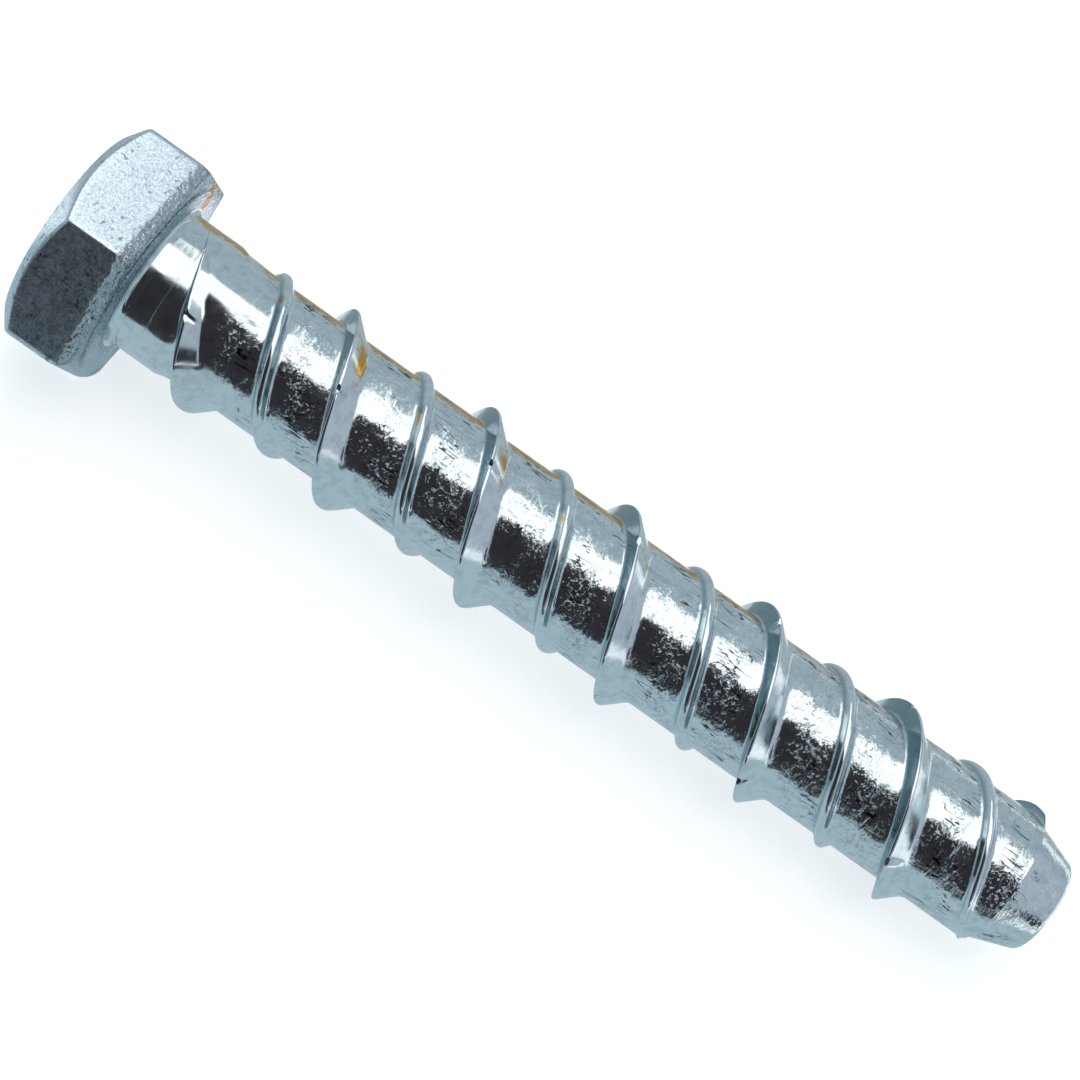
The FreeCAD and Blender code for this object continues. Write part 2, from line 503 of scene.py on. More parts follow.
@dataclass(frozen=True)
class ConeTip:
    """Blunt cone with a rounded edge and a flat end."""

    core_radius: float = 4.925
    end_radius: float = 3.45
    cone_length: float = 4.15
    rounding: float = 0.7
    shank_length: float = 74.7
    buried: float = 0.3
    root_length: float = 1.0
    root_step: float = 0.3
    cone_pieces: int = 7
    arc_points: int = 13
    steps: int = 180

    def shell(self) -> Shell:
        """Turn the tip's outline.

        The outline starts inside the core, follows the cone down to the arc
        that is tangent to the cone and to the flat end, and ends on the axis.

        Returns:
            The closed shell.
        """
        slope = math.atan2(self.core_radius - self.end_radius, self.cone_length)
        reach = self.rounding * math.tan((math.pi / 2 - slope) / 2)
        centre_r = self.end_radius - reach
        centre_z = self.shank_length - self.rounding
        angle = np.linspace(slope, math.pi / 2, self.arc_points)
        arc_r = centre_r + self.rounding * np.cos(angle)
        arc_z = centre_z + self.rounding * np.sin(angle)
        arc = np.column_stack([arc_r, arc_z])
        cone_z = self.shank_length - self.cone_length + self.buried
        cone_start = np.array([self.core_radius - self.buried * math.tan(slope), cone_z])
        share = np.linspace(0.0, 1.0, self.cone_pieces + 1)[:-1, None]
        cone = cone_start * (1 - share) + arc[0] * share
        root_z = cone_z - self.root_length
        start = [(0.0, root_z), (cone_start[0] - self.root_step, root_z)]
        end = [(centre_r / 2, self.shank_length), (0.0, self.shank_length)]
        return revolved(np.vstack([start, cone, arc, end]), self.steps)


@dataclass(frozen=True)
class HexHead:
    """Forged hexagon head with its washer face, a little off the shank's axis."""

    across_flats: float = 16.6
    height: float = 6.5
    end_radius: float = 7.45
    end_inner_radius: float = 3.0
    chamfer_angle: float = 36.0
    rim_height: float = 0.75
    rim_lean: float = 0.12
    offset: float = 0.4
    offset_turn: float = 120.0
    soft_radius: float = 1.5
    seat_radius: float = 7.5
    seat_inner_radius: float = 5.0
    seat_height: float = 0.15
    seat_inset: float = 0.02
    corner_radius: float = 0.45
    edge_cuts: tuple[float, ...] = (0.3, 0.18, 0.22, 0.1, 0.16, 0.05, 0.08, 0.3)
    corner_pieces: int = 4
    cone_corners: int = 3
    block_corners: int = 5
    flat_columns: int = 14
    steps: int = 360

    def flat_radius(self, turn: np.ndarray, apothem: float) -> np.ndarray:
        """Distance from the head's axis to a hexagon with rounded corners.

        Away from a corner it is the apothem over the cosine of the angle from
        the flat's normal; near a corner it is where the ray meets the circle
        that touches both flats.

        Args:
            turn: Angles in degrees.
            apothem: Distance from the axis to a flat.

        Returns:
            Radii of the same shape.
        """
        corner = self.corner_radius
        half_side = math.radians(30)
        from_flat = np.radians((turn + 30) % 60 - 30)
        straight = apothem / np.cos(from_flat)
        centre = (apothem - corner) / math.cos(half_side)
        from_corner = half_side - np.abs(from_flat)
        under = np.clip(corner**2 - (centre * np.sin(from_corner)) ** 2, 0.0, None)
        arc = centre * np.cos(from_corner) + np.sqrt(under)
        limit = math.atan2(corner / 2, centre + corner * math.cos(half_side))
        return np.where(from_corner < limit, arc, straight)

    def outlines(self, turn: np.ndarray) -> np.ndarray:
        """Outline from the middle of the end face to the middle of the seat.

        The corners are: end face, edge of the end face, where its cone meets
        the flat at z = -height + (R - end radius) tan(chamfer angle), foot and
        top of the leaning rim, foot and top of the seat.  More columns stand
        on the flat, at the shares sin(u pi / 2) from its cone to its rim.

        Args:
            turn: Angles (n,) round the head's axis.

        Returns:
            Radius and height (n, columns, 2).
        """
        apothem = self.across_flats / 2
        full = self.flat_radius(turn, apothem)
        rim = self.flat_radius(turn, apothem - self.rim_lean)
        slope = math.tan(math.radians(self.chamfer_angle))
        cone_z = -self.height + (full - self.end_radius) * slope
        rim_top = -self.seat_height
        rim_foot = rim_top - self.rim_height
        seat_r = np.minimum(self.seat_radius, rim - self.seat_inset)
        places = [
            (0.0, -self.height), (self.end_inner_radius, -self.height),
            (self.end_radius, -self.height), (full, cone_z), (full, rim_foot), (rim, rim_top),
            (seat_r, rim_top), (seat_r, 0.0), (self.seat_inner_radius, 0.0), (0.0, 0.0),
        ]
        pairs = [np.stack(np.broadcast_arrays(r, z, turn)[:2], axis=-1) for r, z in places]
        cuts = np.array(self.edge_cuts) + 0 * full[:, None]
        curve = rounded(np.stack(pairs, axis=-2), cuts, self.corner_pieces)
        flat = self.cone_corners * (self.corner_pieces + 1)
        share = np.sin(np.linspace(0.0, np.pi / 2, self.flat_columns + 2))[None, 1:-1, None]
        between = curve[:, flat - 1:flat] * (1 - share) + curve[:, flat:flat + 1] * share
        return np.concatenate([curve[:, :flat], between, curve[:, flat:]], axis=1)

    def shell(self) -> Shell:
        """Carry the outlines round the head's axis and round the soft edge.

        The point at angle t is (r cos t, r sin t, z) from the head's axis.
        Along the flat at the offset's turn every point outside the quarter
        circle of the soft edge moves towards the circle's centre on to it,
        apart from the seat, whose foot drops to the circle instead.

        Returns:
            The closed shell, moved off the shank's axis by the offset.
        """
        turn = np.linspace(0.0, 360.0, self.steps + 1)
        outline = self.outlines(turn)
        radius, height = outline[..., 0], outline[..., 1]
        flat_turn = math.radians(self.offset_turn)
        cosine, sine = math.cos(flat_turn), math.sin(flat_turn)
        angle = np.radians(turn)[:, None] - flat_turn
        side = np.sin(angle) * radius
        local, height = self.softened(np.cos(angle) * radius, height)
        x = (local + self.offset) * cosine - side * sine
        y = (local + self.offset) * sine + side * cosine
        centre = np.array([self.offset * cosine, self.offset * sine, 0.0])
        low = np.broadcast_to(centre + [0, 0, -self.height], (len(turn), 1, 3))
        high = np.broadcast_to(centre, (len(turn), 1, 3))
        points = np.concatenate([low, np.stack([x, y, height], axis=-1), high], axis=1)
        points[-1] = points[0]
        return welded(points.reshape(-1, 3), grid_triangles(len(turn), points.shape[1]))

    def softened(self, local: np.ndarray, height: np.ndarray) -> tuple[np.ndarray, np.ndarray]:
        """Move what lies outside the soft edge's quarter circle on to it.

        Args:
            local: Distance of each point towards the soft flat.
            height: Height of each point.

        Returns:
            The new distances and heights.
        """
        centre_x = self.across_flats / 2 - self.soft_radius
        centre_z = -self.seat_height - self.soft_radius
        out_x, out_z = local - centre_x, height - centre_z
        away = np.hypot(out_x, out_z)
        outside = (out_x > 0) & (out_z > 0) & (away > self.soft_radius)
        pull = np.where(outside, self.soft_radius / np.where(outside, away, 1.0), 1.0)
        columns = np.arange(local.shape[1])[None, :] - self.flat_columns
        each = self.corner_pieces + 1
        block = columns < self.block_corners * each
        foot = ~block & (columns < (self.block_corners + 1) * each)
        x = np.where(block, centre_x + out_x * pull, local)
        z = np.where(block, centre_z + out_z * pull, height)
        arc_z = centre_z + np.sqrt(np.clip(self.soft_radius**2 - out_x**2, 0.0, None))
        return x, np.where(foot & (out_x > 0), np.minimum(height, arc_z), z)


# Finish


@dataclass(frozen=True)
class Pattern:
    """Noise with waves per unit of its coordinates, and the range a look takes from it."""

    waves: float
    detail: float = 2.0
    roughness: float = 0.5
    distortion: float = 0.0
    low: float = 0.0
    high: float = 1.0
    faintest: float = 0.0


class NodeSheet:
    """A shader tree with short methods for the nodes that the finishes use."""

    def __init__(self, name: str) -> None:
        """Start an empty material.

        Args:
            name: Name of the material.
        """
        self.material = bpy.data.materials.new(name)
        self.material.use_nodes = True
        self.tree = self.material.node_tree
        self.tree.nodes.clear()
        self.output = self.tree.nodes.new("ShaderNodeOutputMaterial")

    def node(self, kind: str, **settings: object) -> bpy.types.Node:
        """Add a node and set its properties.

        Args:
            kind: Type name of the node.
            **settings: Property names and values.

        Returns:
            The node.
        """
        node = self.tree.nodes.new(kind)
        for name, value in settings.items():
            setattr(node, name, value)
        return node

    def feed(self, socket: Socket, value: object) -> None:
        """Link a socket to another, or set its value.

        Args:
            socket: The input socket.
            value: An output socket, or a plain value.
        """
        if isinstance(value, Socket):
            self.tree.links.new(value, socket)
        else:
            socket.default_value = value

    def math(self, operation: str, first: object, second: object = 0.0) -> Socket:
        """Combine two numbers.

        Args:
            operation: Name of the operation.
            first: First number or socket.
            second: Second number or socket.

        Returns:
            The result's socket.
        """
        node = self.node("ShaderNodeMath", operation=operation)
        self.feed(node.inputs[0], first)
        self.feed(node.inputs[1], second)
        return node.outputs[0]

    def plus(self, *numbers: object) -> Socket:
        """Sum of numbers."""
        return reduce(partial(self.math, "ADD"), numbers)

    def times(self, *numbers: object) -> Socket:
        """Product of numbers."""
        return reduce(partial(self.math, "MULTIPLY"), numbers)

    def without(self, share: object) -> Socket:
        """What is left of 1 without a share."""
        return self.math("SUBTRACT", 1.0, share)

    def eased(self, value: object, low: float, high: float, start: float = 0.0, end: float = 1.0) -> Socket:
        """Map a number from one range to another, smoothly and clamped.

        Args:
            value: The number's socket.
            low: Start of the first range.
            high: End of the first range.
            start: Result at the low end.
            end: Result at the high end.

        Returns:
            The result's socket.
        """
        node = self.node("ShaderNodeMapRange", interpolation_type="SMOOTHSTEP")
        for place, number in enumerate((value, low, high, start, end)):
            self.feed(node.inputs[place], number)
        return node.outputs[0]

    def blend(self, share: object, first: object, second: object) -> Socket:
        """Blend two colours.

        Args:
            share: How much of the second.
            first: First colour or socket.
            second: Second colour or socket.

        Returns:
            The colour's socket.
        """
        node = self.node("ShaderNodeMix", data_type="RGBA")
        self.feed(node.inputs["Factor"], share)
        self.feed(node.inputs[6], first)
        self.feed(node.inputs[7], second)
        return node.outputs[2]

    def noise(self, place: Socket, pattern: Pattern) -> Socket:
        """Read a pattern's bare noise.

        Args:
            place: Coordinates of the noise.
            pattern: The pattern.

        Returns:
            The value's socket, about 0.5 on average.
        """
        node = self.node("ShaderNodeTexNoise", noise_dimensions="3D")
        self.feed(node.inputs["Vector"], place)
        node.inputs["Scale"].default_value = pattern.waves
        node.inputs["Detail"].default_value = pattern.detail
        node.inputs["Roughness"].default_value = pattern.roughness
        node.inputs["Distortion"].default_value = pattern.distortion
        return node.outputs["Fac"]

    def spread(self, place: Socket, pattern: Pattern, reach: float) -> Socket:
        """Pattern's bare noise less 0.5, times a reach."""
        return self.times(self.math("SUBTRACT", self.noise(place, pattern), 0.5), reach)

    def patched(self, place: Socket, pattern: Pattern) -> Socket:
        """Pattern's noise eased from its faintest value at its low to 1 at its high."""
        return self.eased(self.noise(place, pattern), pattern.low, pattern.high, pattern.faintest)

    def mask(self, mask: Mask) -> Socket:
        """Read one of the piece's own mask attributes."""
        return self.node("ShaderNodeAttribute", attribute_name=mask.value).outputs["Fac"]


class PlatingSheet(NodeSheet):
    """The plating's shader tree, with the coordinates and masks that its looks share."""

    def __init__(self, name: str, tilt: float) -> None:
        """Start the tree and read its coordinates and masks.

        Args:
            name: Name of the material.
            tilt: Slope of the screw's axis in radians, to line patterns up.
        """
        super().__init__(name)
        self.tilt = tilt
        self.place = self.node("ShaderNodeTexCoord").outputs["Object"]
        self.spot = self.stretched((1 / MILLIMETRE,) * 3)
        # Masks of the painted amber reflection and the painted teal shade
        self.amber, self.teal = self.mask(Mask.PAINTED_REFLECTION), self.mask(Mask.PAINTED_SHADE)
        self.forged, self.worn = self.mask(Mask.FORGED), self.mask(Mask.WORN)

    def stretched(self, per_metre: Triple) -> Socket:
        """Turn the coordinates along the screw's axis and scale them.

        Args:
            per_metre: Units per metre along, across and up.

        Returns:
            The coordinates' socket.
        """
        turned, scaled = self.node("ShaderNodeMapping"), self.node("ShaderNodeMapping")
        self.feed(turned.inputs["Vector"], self.place)
        turned.inputs["Rotation"].default_value = (0.0, -self.tilt, 0.0)
        self.feed(scaled.inputs["Vector"], turned.outputs["Vector"])
        scaled.inputs["Scale"].default_value = per_metre
        return scaled.outputs["Vector"]


@dataclass(frozen=True)
class ZincPlating:
    """Bright bluish zinc over forged and rolled steel.

    A pattern says where a look is.  The numbers beside it say how strong it
    is, or between which values of a mask it comes in.  Relief is in millimetres,
    and so are the places of the rim and the ring, from the origin to the head.
    """

    name: str = "zinc plating"
    colour: Colour = (0.74, 0.82, 0.85, 1.0)
    forged_colour: Colour = (0.70, 0.82, 0.89, 1.0)
    dull: Colour = (0.50, 0.58, 0.62, 1.0)
    grey: Colour = (0.40, 0.48, 0.54, 1.0)
    # Painted amber reflection, laid at fixed turns round the axis
    amber: Colour = (0.66, 0.36, 0.05, 1.0)
    # Painted shade: dark teal on the head-facing ridge sides, the washer face and its lip
    teal: Colour = (0.11, 0.23, 0.28, 1.0)
    # Painted lilac sheen on the washer face
    lilac: Colour = (0.80, 0.76, 0.98, 1.0)
    tarnish: Colour = (0.20, 0.19, 0.20, 1.0)
    crack: Colour = (0.06, 0.06, 0.07, 1.0)
    # Roughness
    roughness: float = 0.11
    powdery_roughness: float = 0.11
    rim_roughness: float = 0.05
    patch_roughness: float = 0.06
    patches: Pattern = Pattern(1.1, 2.0, 0.6, low=0.4, high=0.65)
    # Mottling, dust, specks and dark spots
    mottling: Pattern = Pattern(1.3, 4.0, 0.65, low=0.42, high=0.68)
    mottled: float = 0.55
    less_mottled_head: float = 0.25
    dusting: Pattern = Pattern(4.6, 3.0, 0.75, low=0.42, high=0.64)
    dust_grey: float = 0.6
    dust_matt: float = 0.18
    specks: Pattern = Pattern(4.5, 3.0, 0.75, low=0.55, high=0.64)
    speck_clusters: Pattern = Pattern(0.35, 1.0, low=0.4, high=0.6, faintest=0.15)
    spots: Pattern = Pattern(2.6, 2.0, 0.6, low=0.58, high=0.65)
    spot_darkness: float = 0.8
    # Cracks along the rolled core
    crack_stretch: Triple = (260.0, 1500.0, 1500.0)
    crack_lines: Pattern = Pattern(1.0, 2.0, 0.5, 0.3)
    crack_width: Pair = (0.006, 0.018)
    crack_places: Pattern = Pattern(0.4, 1.0, low=0.52, high=0.58)
    # Painted amber reflection on the ridges, the head and the upper edge, painted teal shade on the ridges
    # and the head, painted lilac sheen on the washer face, and scuffs
    # Noise that breaks up the painted amber reflection
    reflection_breakup: Pattern = Pattern(1.3, 4.0, 0.7)
    breakup_reach: float = 1.6
    amber_range: Pair = (0.3, 0.8)
    amber_edge: Pair = (0.05, 0.3)
    teal_share: float = 0.8
    lilac_share: float = 0.8
    lilac_range: Pair = (0.02, 0.2)
    scuff_stretch: Triple = (800.0, 2600.0, 2600.0)
    scuffs: Pattern = Pattern(1.0, 2.0, 0.6, low=0.58, high=0.62)
    scuff_range: Pair = (0.02, 0.12)
    # Relief
    swell: Pattern = Pattern(0.5, 1.0)
    swell_height: float = 0.03
    rolled_stretch: Triple = (1900.0, 800.0, 800.0)
    waves: Pattern = Pattern(1.0, 3.0, 0.55, 0.3)
    wave_height: float = 0.006
    worn_wave_height: float = 0.065
    torn: Pattern = Pattern(3.6, 3.0, 0.65, 0.8, low=0.54, high=0.76)
    torn_clusters: Pattern = Pattern(0.6, 2.0, low=0.42, high=0.6, faintest=0.15)
    pit_depth: float = 0.03
    pit_dullness: float = 0.5
    grain: Pattern = Pattern(7.0, 2.0, 0.6)
    forged_grain: float = 0.009
    rim_grain: float = 0.01
    # Pressed rim of the head and the ring round the neck
    ragged: Pattern = Pattern(2.6, 2.0)
    rim_reach: float = 0.5
    rim_range: Pair = (0.22, 0.28)
    rim_dullness: float = 0.7
    rim_at: float = 35.3
    rim_slope: float = 0.45
    rim_wander: float = 0.8
    ring_at: float = 31.95
    ring_fade: Pair = (0.02, 0.09)
    ring_height: float = 0.014

    def material(self, tilt: float) -> bpy.types.Material:
        """Build the plating's material.

        Args:
            tilt: Slope of the screw's axis in radians, to line patterns up.

        Returns:
            The material.
        """
        sheet = PlatingSheet(self.name, tilt)
        edge = sheet.spread(sheet.spot, self.ragged, self.rim_reach)
        rim = sheet.eased(sheet.plus(sheet.mask(Mask.RIM), edge), *self.rim_range)
        powdery = sheet.times(sheet.forged, sheet.without(sheet.teal))
        dust = sheet.times(sheet.patched(sheet.spot, self.dusting), powdery)
        clusters = sheet.patched(sheet.spot, self.torn_clusters)
        pits = sheet.times(sheet.patched(sheet.spot, self.torn), clusters, sheet.worn)
        rough = sheet.plus(
            self.roughness,
            sheet.times(powdery, self.powdery_roughness),
            sheet.times(rim, self.rim_roughness),
            sheet.times(sheet.patched(sheet.spot, self.patches), self.patch_roughness),
        )
        shader = sheet.node("ShaderNodeBsdfPrincipled")
        sheet.feed(shader.inputs["Base Color"], self.tint(sheet, dust, pits, rim))
        sheet.feed(shader.inputs["Metallic"], sheet.without(sheet.times(dust, self.dust_matt)))
        sheet.feed(shader.inputs["Roughness"], rough)
        sheet.feed(shader.inputs["Normal"], self.relief(sheet, rim, pits))
        sheet.feed(sheet.output.inputs["Surface"], shader.outputs["BSDF"])
        return sheet.material

    def tint(self, sheet: PlatingSheet, dust: Socket, pits: Socket, rim: Socket) -> Socket:
        """Colour of the plating: layers of mottling, dust, specks, spots, cracks and scuffs, and the
        painted amber reflection, painted lilac sheen and painted teal shade.

        Args:
            sheet: The material's sheet.
            dust: Powdery grain of the forged head, from 0 to 1.
            pits: Depth of the pits, from 0 to 1.
            rim: Mask of the pressed rim.

        Returns:
            The colour's socket.
        """
        spot, forged, worn, amber = sheet.spot, sheet.forged, sheet.worn, sheet.amber
        faded = sheet.math("SUBTRACT", self.mottled, sheet.times(forged, self.less_mottled_head))
        clusters = sheet.patched(spot, self.speck_clusters)
        along = sheet.stretched(self.crack_stretch)
        seam = sheet.math("ABSOLUTE", sheet.spread(along, self.crack_lines, 1.0))
        seam = sheet.without(sheet.eased(seam, *self.crack_width))
        # Painted amber reflection: the amber mask, broken up by noise and eased in
        reflection_share = sheet.plus(amber, sheet.spread(spot, self.reflection_breakup, self.breakup_reach))
        reflection_share = sheet.times(sheet.eased(reflection_share, *self.amber_range), sheet.eased(amber, *self.amber_edge))
        scuff = sheet.patched(sheet.stretched(self.scuff_stretch), self.scuffs)
        layers = (
            (forged, self.forged_colour),
            (sheet.times(sheet.patched(spot, self.mottling), faded), self.dull),
            (sheet.times(dust, self.dust_grey), self.grey),
            (sheet.times(sheet.patched(spot, self.specks), clusters, worn), self.dull),
            (sheet.times(sheet.patched(spot, self.spots), clusters, forged, self.spot_darkness),
             self.tarnish),
            (sheet.times(seam, sheet.patched(spot, self.crack_places), worn), self.crack),
            # Painted teal shade, painted lilac sheen and painted amber reflection
            (sheet.times(sheet.teal, self.teal_share), self.teal),
            (sheet.times(sheet.eased(amber, *self.lilac_range), forged, self.lilac_share), self.lilac),
            (reflection_share, self.amber),
            (sheet.times(scuff, worn, sheet.eased(amber, *self.scuff_range)), self.crack),
            (sheet.times(pits, self.pit_dullness), self.dull),
            (sheet.times(rim, self.rim_dullness), self.dull),
        )
        colour = self.colour
        for share, layer in layers:
            colour = sheet.blend(share, colour, layer)
        return colour

    def relief(self, sheet: PlatingSheet, rim: Socket, pits: Socket) -> Socket:
        """Relief of the surface: rolling scars, forging grain, pressed rim and ring.

        Args:
            sheet: The material's sheet.
            rim: Mask of the pressed rim.
            pits: Depth of the pits, from 0 to 1.

        Returns:
            The bent normal's socket.
        """
        spot, forged = sheet.spot, sheet.forged
        waves = sheet.noise(sheet.stretched(self.rolled_stretch), self.waves)
        wave_height = sheet.plus(self.wave_height, sheet.times(sheet.worn, self.worn_wave_height))
        grain = sheet.plus(sheet.times(forged, self.forged_grain), sheet.times(rim, self.rim_grain))
        grain = sheet.times(grain, sheet.without(sheet.teal), sheet.noise(spot, self.grain))
        split = sheet.node("ShaderNodeSeparateXYZ")
        sheet.feed(split.inputs[0], spot)
        along = split.outputs["X"]
        beyond = sheet.plus(along, self.rim_at, sheet.spread(spot, self.ragged, self.rim_wander))
        away = sheet.math("ABSOLUTE", sheet.plus(along, self.ring_at))
        ring = sheet.eased(away, *self.ring_fade, self.ring_height, 0.0)
        height = sheet.plus(
            sheet.times(sheet.noise(spot, self.swell), self.swell_height),
            sheet.times(waves, wave_height),
            sheet.times(pits, -self.pit_depth),
            grain,
            sheet.times(sheet.math("MAXIMUM", beyond, 0.0), -self.rim_slope, forged),
            sheet.times(ring, sheet.without(forged)),
        )
        bump = sheet.node("ShaderNodeBump")
        bump.inputs["Strength"].default_value = 1.0
        bump.inputs["Distance"].default_value = MILLIMETRE
        sheet.feed(bump.inputs["Height"], height)
        return bump.outputs["Normal"]


# Marks on the skin


@dataclass(frozen=True)
class Span:
    """A stretch of turns or lengths on the skin: its place and its width."""

    at: float
    width: float

    def bell(self, value: np.ndarray) -> np.ndarray:
        """Bell curve exp(-((value - at) / width)^2)."""
        return np.exp(-(((value - self.at) / self.width) ** 2))

    def rise(self, value: np.ndarray) -> np.ndarray:
        """Smooth step of (value - at) / width."""
        return smooth_step((value - self.at) / self.width)

    def fall(self, value: np.ndarray) -> np.ndarray:
        """Straight fall (at - value) / width, held between 0 and 1."""
        return np.clip((self.at - value) / self.width, 0.0, 1.0)


@dataclass(frozen=True)
class Places:
    """Where each point of the skin is, as arrays (n,).

    crest is the length along the axis since the high thread's last crest, and
    proud is how far the point stands out from the core, from 0 to 1.
    """

    turn: np.ndarray
    radius: np.ndarray
    height: np.ndarray
    head: np.ndarray
    crest: np.ndarray
    proud: np.ndarray


@dataclass(frozen=True)
class Marks:
    """Where the painted amber reflection, the painted lilac sheen, the painted teal shade and wear lie on
    the skin, in turns and heights of its own frame.
    """

    rod: ThreadedRod
    head: HexHead
    proud_rise: float = 0.15
    # Painted amber reflection on the high ridge's long slope and along the core's upper edge
    flank: Span = Span(1.1, 0.75)
    flank_until: float = 2.1
    flank_turn: Span = Span(-10.0, 21.0)
    flank_start: Span = Span(7.0, 3.0)
    flank_end: Span = Span(56.25, 45.0)
    flank_amber: float = 1.2
    top_turn: Span = Span(-47.5, 13.0)
    top_end: Span = Span(90.0, 60.0)
    less_amber_proud: float = 0.8
    # Painted amber reflection on the washer face, and a wide faint bell of it that carries the painted
    # lilac sheen
    seat_turn: Span = Span(-57.0, 9.0)
    seat_glow_turn: Span = Span(-60.0, 30.0)
    seat_glow: float = 0.2
    seat_depth: float = 0.05
    seat_spill: float = 0.3
    # Painted teal shade on the ridges' head-facing sides, the washer face and the lip round it
    low_before: Pair = (1.0, 0.3)
    low_teal: float = 0.75
    high_before: float = 0.75
    bearing_depth: float = 0.02
    bearing_margin: float = 0.1
    bearing_teal: float = 0.9
    bearing_bare: Span = Span(-70.0, 45.0)
    lip_from: float = -0.6
    lip_drop: float = 0.4
    lip_drop_turn: Span = Span(-5.0, 15.0)
    lip_fade: float = 0.3
    lip_teal: float = 0.8
    worn_start: Span = Span(4.0, 5.0)
    worn_growth: Span = Span(10.0, 30.0)
    worn_first: float = 0.65
    worn_bands: tuple[Span, Span] = (Span(4.2, 1.1), Span(9.0, 1.1))
    worn_between: float = 0.5
    worn_in_bands: float = 1.4
    less_worn_proud: float = 0.95
    rim_fade: float = 1.2
    rim_margin: float = 0.25

    def masks(self, points: np.ndarray, head_count: int) -> dict[Mask, np.ndarray]:
        """Work out where each look belongs.

        Args:
            points: Points (n, 3) in the screw's own frame.
            head_count: Number of points that belong to the head.

        Returns:
            One value for each point under each mask, 0 where it has no such look.
        """
        turn = np.degrees(np.arctan2(points[:, 1], points[:, 0]))
        radius, height = np.hypot(points[:, 0], points[:, 1]), points[:, 2]
        head = np.arange(len(points)) < head_count
        crest = (height - self.rod.high_at - self.rod.lead * turn / 360) % self.rod.lead
        proud = np.clip((radius - self.rod.base(height)) / self.proud_rise, 0.0, 1.0) * ~head
        skin = Places(turn, radius, height, head, crest, proud)
        return {
            Mask.PAINTED_REFLECTION: np.where(head, self.seat_amber(skin), self.shank_amber(skin)),
            Mask.PAINTED_SHADE: np.where(head, self.head_teal(skin), self.ridge_teal(skin)),
            Mask.FORGED: np.where(head, 1.0, 0.0),
            Mask.RIM: self.rim(skin),
            Mask.WORN: self.worn(skin),
        }

    def shank_amber(self, skin: Places) -> np.ndarray:
        """Painted amber reflection on the high ridge's long slope and along the core's upper edge.

        Args:
            skin: The points' places.

        Returns:
            The larger of the slope's bells of turn and length and the edge's
            bell of turn, each faded along the axis.
        """
        slope = skin.proud * self.flank.bell(skin.crest) * (skin.crest < self.flank_until)
        fading = self.flank_start.rise(skin.height) * self.flank_end.fall(skin.height)
        slope = self.flank_amber * slope * self.flank_turn.bell(skin.turn) * fading
        edge = self.top_turn.bell(skin.turn) * self.top_end.fall(skin.height)
        return np.maximum(slope, edge * (1 - self.less_amber_proud * skin.proud))

    def seat_amber(self, skin: Places) -> np.ndarray:
        """Painted amber reflection on the washer face: a strong bell of turn within a wide faint one, which
        carries the painted lilac sheen.

        Args:
            skin: The points' places.

        Returns:
            One value for each point.
        """
        on_face = skin.height > -self.head.seat_height - self.seat_depth
        on_face &= skin.radius < self.head.seat_radius + self.seat_spill
        glow = self.seat_glow * self.seat_glow_turn.bell(skin.turn)
        return on_face * np.maximum(self.seat_turn.bell(skin.turn), glow)

    def ridge_teal(self, skin: Places) -> np.ndarray:
        """Painted teal shade on the sides of both ridges that face the head.

        Args:
            skin: The points' places.

        Returns:
            One value for each point.
        """
        low_from, low_to = [self.rod.low_lag - before for before in self.low_before]
        low_side = (skin.crest > low_from) & (skin.crest < low_to)
        high_side = skin.crest > self.rod.lead - self.high_before
        return skin.proud * np.maximum(high_side, self.low_teal * low_side)

    def head_teal(self, skin: Places) -> np.ndarray:
        """Painted teal shade on the washer face, apart from the side with the painted amber reflection, and
        on the lip round it.

        Args:
            skin: The points' places.

        Returns:
            One value for each point.
        """
        inner = self.head.seat_radius - self.bearing_margin
        bearing = (skin.height > -self.head.seat_height - self.bearing_depth) & (skin.radius < inner)
        bearing = self.bearing_teal * bearing * (1 - self.bearing_bare.bell(skin.turn))
        lip_from = self.lip_from - self.lip_drop * self.lip_drop_turn.rise(skin.turn)
        lip = self.lip_teal * np.clip((skin.height - lip_from) / self.lip_fade, 0.0, 1.0)
        return np.maximum(bearing, lip * (skin.radius > inner))

    def worn(self, skin: Places) -> np.ndarray:
        """Wear of the core, which grows towards the tip and is most between the ridges.

        Args:
            skin: The points' places.

        Returns:
            One value for each point.
        """
        growth = self.worn_first + (1 - self.worn_first) * self.worn_growth.rise(skin.height)
        bands = self.worn_bands[0].bell(skin.crest) + self.worn_bands[1].bell(skin.crest)
        worn = self.worn_start.rise(skin.height) * growth * ~skin.head
        worn = worn * (self.worn_between + self.worn_in_bands * bands)
        return worn * (1 - self.less_worn_proud * skin.proud)

    def rim(self, skin: Places) -> np.ndarray:
        """Pressed rim: a straight rise about its foot, outside the washer face.

        Args:
            skin: The points' places.

        Returns:
            One value for each point.
        """
        rim_foot = -self.head.seat_height - self.head.rim_height
        rise = np.clip((skin.height - rim_foot) / self.rim_fade + 0.5, 0.0, 1.0)
        return rise * skin.head * (skin.radius > self.head.seat_radius + self.rim_margin)


# Whole screw


def linked(name: str, data: bpy.types.ID) -> bpy.types.Object:
    """Make an object of a mesh or camera and link it to the scene.

    Args:
        name: Name of the object.
        data: Its mesh or camera.

    Returns:
        The object, at the origin.
    """
    thing = bpy.data.objects.new(name, data)
    bpy.context.scene.collection.objects.link(thing)
    return thing


